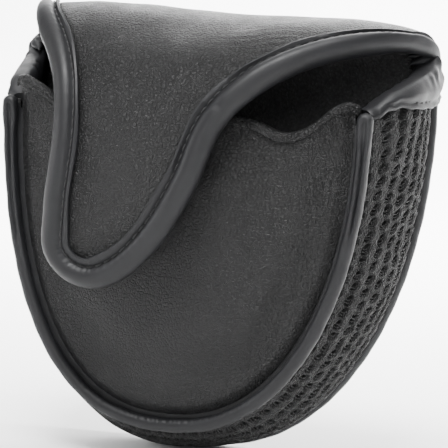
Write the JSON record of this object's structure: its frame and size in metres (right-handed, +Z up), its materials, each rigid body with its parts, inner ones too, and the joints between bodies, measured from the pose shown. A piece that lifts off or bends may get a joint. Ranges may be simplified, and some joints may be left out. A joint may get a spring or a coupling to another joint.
{
  "type": "putter head cover",
  "caption": "Padded D-shaped putter head cover with corded piping, spacer-mesh gusset and an off-centre hook-and-loop tongue flap over its mouth.",
  "frame": {"origin": "middle of the cover's bounding box at its lowest point, with the cover upright, flap up", "axes": "+Z up towards the flap, +Y towards the back panel, -Y towards the front panel and the tongue, +X along the mouth towards the shaft side"},
  "size_m": [0.1306, 0.0572, 0.1346],
  "materials": {
    "grained_leather": "matte pebble-grained synthetic leather",
    "smooth_leather": "smooth satin synthetic leather",
    "foam": "closed-cell foam",
    "plush": "short-pile plush",
    "spacer_mesh": "knitted spacer mesh",
    "hook_tape": "woven hook tape",
    "loop_tape": "brushed loop tape",
    "elastic": "woven elastic",
    "thread": "bonded sewing thread",
    "cord": "twisted piping cord"
  },
  "bodies": {
    "pocket": {"front_panel": "grained_leather", "front_padding": "foam", "front_lining": "plush", "front_edge_binding": "smooth_leather", "hook_patch": "hook_tape", "front_piping_cover": "smooth_leather", "front_piping_cord": "cord", "gusset_mesh": "spacer_mesh", "gusset_lining": "plush", "gusset_facing_left": "smooth_leather", "facing_elastic_left": "elastic", "facing_stitch_left": "thread", "gusset_facing_right": "smooth_leather", "facing_elastic_right": "elastic", "facing_stitch_right": "thread", "back_panel": "grained_leather", "back_padding": "foam", "back_lining": "plush", "back_piping_cover": "smooth_leather", "back_piping_cord": "cord"},
    "hood": {"hood_leather": "grained_leather", "hood_padding": "foam", "hood_lining": "plush", "hood_binding_left": "smooth_leather", "hood_binding_right": "smooth_leather", "hood_stitch_left": "thread", "hood_stitch_right": "thread"},
    "tongue": {"tongue_leather": "grained_leather", "tongue_padding": "foam", "tongue_lining": "plush", "tongue_binding": "smooth_leather", "tongue_stitch": "thread", "loop_patch": "loop_tape"}
  },
  "joints": [
    {"name": "flap_fold", "type": "hinge", "parent": "pocket", "child": "hood", "pos_m": [0, 0.02855, 0.12236], "axis": [-1, 0, 0], "range_deg": [0, 150]},
    {"name": "tongue_bend", "type": "hinge", "parent": "hood", "child": "tongue", "pos_m": [0, -0.02256, 0.11294], "axis": [-1, 0, 0], "range_deg": [0, 55]}
  ]
}
